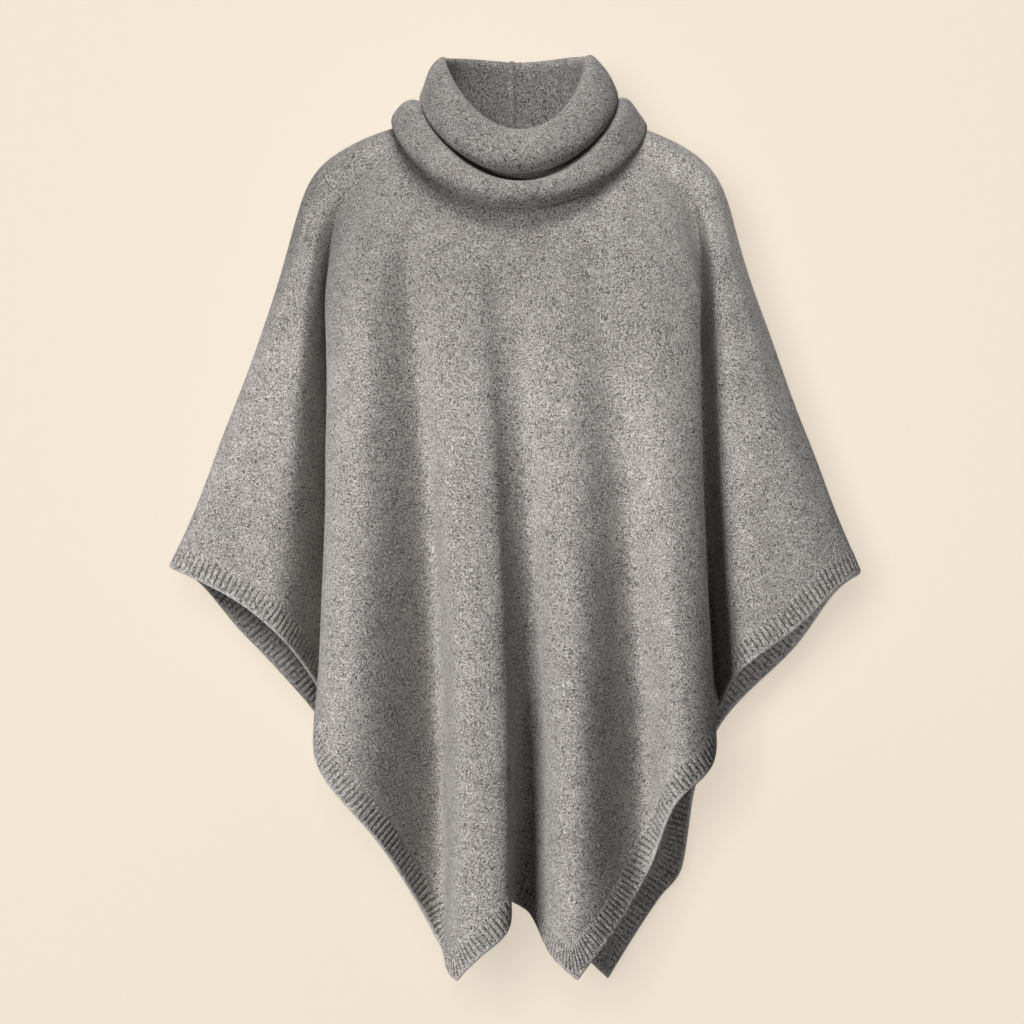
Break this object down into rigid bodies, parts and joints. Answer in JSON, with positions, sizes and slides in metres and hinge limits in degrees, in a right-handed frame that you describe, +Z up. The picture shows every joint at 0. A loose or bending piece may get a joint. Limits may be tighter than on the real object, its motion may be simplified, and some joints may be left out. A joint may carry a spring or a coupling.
{
  "type": "knitted poncho sweater",
  "caption": "Sleeveless knitted poncho sweater with a draped cowl collar, wide open sides, a pointed hem and ribbed edging, hollow as if worn and hanging in soft folds.",
  "frame": {"origin": "the middle of the wearer's neck base, level with the tops of the shoulders", "axes": "+Z up along the garment's length, +X towards the wearer's left arm, -Y out of the front, with the cowl's overhang facing -Y"},
  "size_m": [0.6949, 0.244, 0.9361],
  "materials": {
    "melange_knit": "matte felted grey melange knit"
  },
  "bodies": {
    "root": {"back_hem_rib": "melange_knit", "back_panel": "melange_knit", "cowl_collar": "melange_knit", "front_hem_rib": "melange_knit", "front_panel": "melange_knit"}
  },
  "joints": []
}
